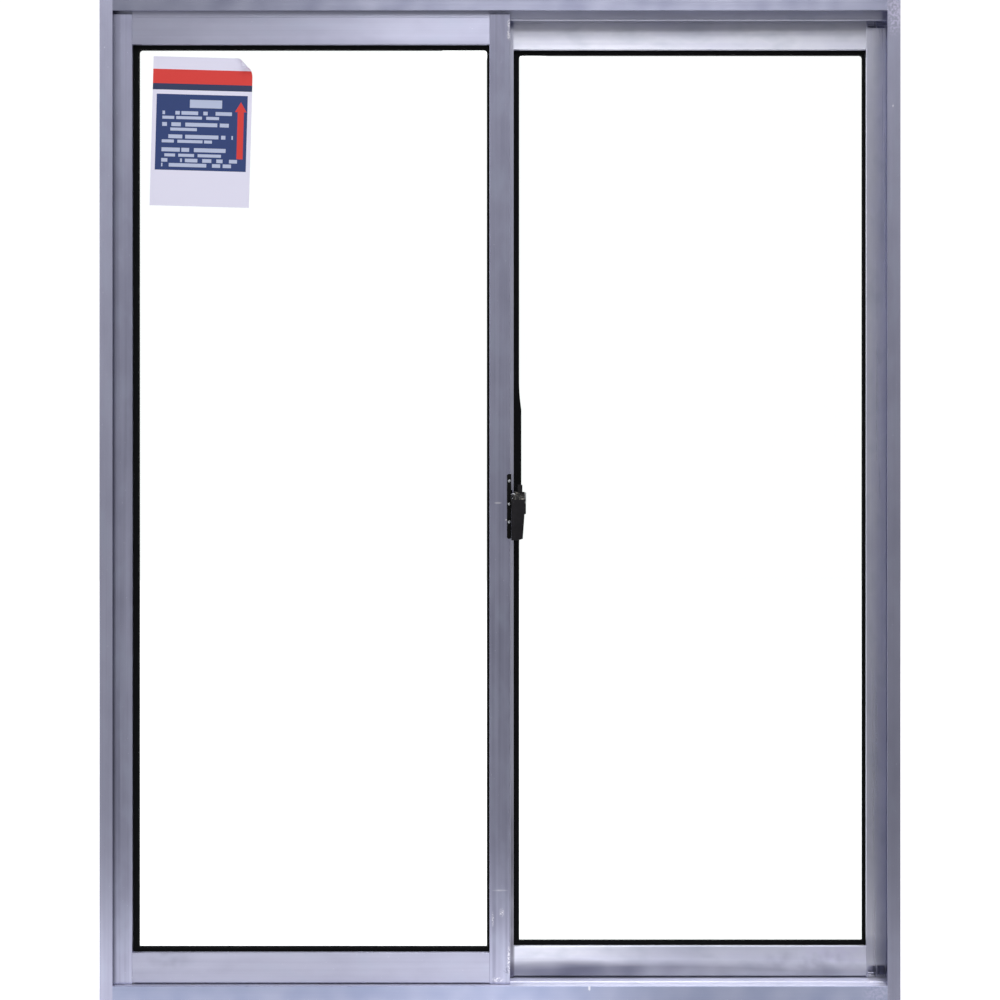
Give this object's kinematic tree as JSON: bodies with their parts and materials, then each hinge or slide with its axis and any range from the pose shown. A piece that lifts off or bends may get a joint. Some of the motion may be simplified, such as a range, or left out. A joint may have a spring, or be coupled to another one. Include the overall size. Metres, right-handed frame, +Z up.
{
  "type": "sliding window",
  "caption": "Horizontal sliding window: aluminium frame, glazed sashes that pass each other on rollers, black glazing rubber and a lever latch on the meeting stile.",
  "frame": {"origin": "on the underside of the sill, at the middle of its length and of the frame's depth", "axes": "+X to the right seen from the room, +Y towards the outside, +Z up"},
  "size_m": [0.8, 0.0592, 1],
  "materials": {
    "mill_aluminium": "extruded, satin, with lengthwise die lines",
    "clear_glass": "clear float glass, 3 mm",
    "black_rubber": "matt extruded rubber",
    "black_plastic": "moulded, satin",
    "zinc_steel": "zinc plated",
    "white_nylon": "moulded nylon",
    "grey_pile": "woven brush pile"
  },
  "bodies": {
    "root": {"frame_sill": "mill_aluminium", "frame_head": "mill_aluminium", "frame_jamb_left": "mill_aluminium", "frame_jamb_right": "mill_aluminium", "front_outer_stile": "mill_aluminium", "front_meeting_stile": "mill_aluminium", "front_bottom_rail": "mill_aluminium", "front_top_rail": "mill_aluminium", "front_glass": "clear_glass", "front_gasket": "black_rubber", "front_roller_wheels": "black_plastic", "front_roller_housings": "zinc_steel", "front_top_slides": "white_nylon", "front_brush_seals": "grey_pile", "rear_outer_stile": "mill_aluminium", "rear_meeting_stile": "mill_aluminium", "rear_bottom_rail": "mill_aluminium", "rear_top_rail": "mill_aluminium", "rear_glass": "clear_glass", "rear_gasket": "black_rubber", "rear_roller_wheels": "black_plastic", "rear_roller_housings": "zinc_steel", "rear_top_slides": "white_nylon", "rear_brush_seals": "grey_pile", "latch_plate": "black_plastic", "latch_lever": "black_plastic", "latch_pawl": "black_plastic", "latch_pivot": "zinc_steel"}
  },
  "joints": []
}
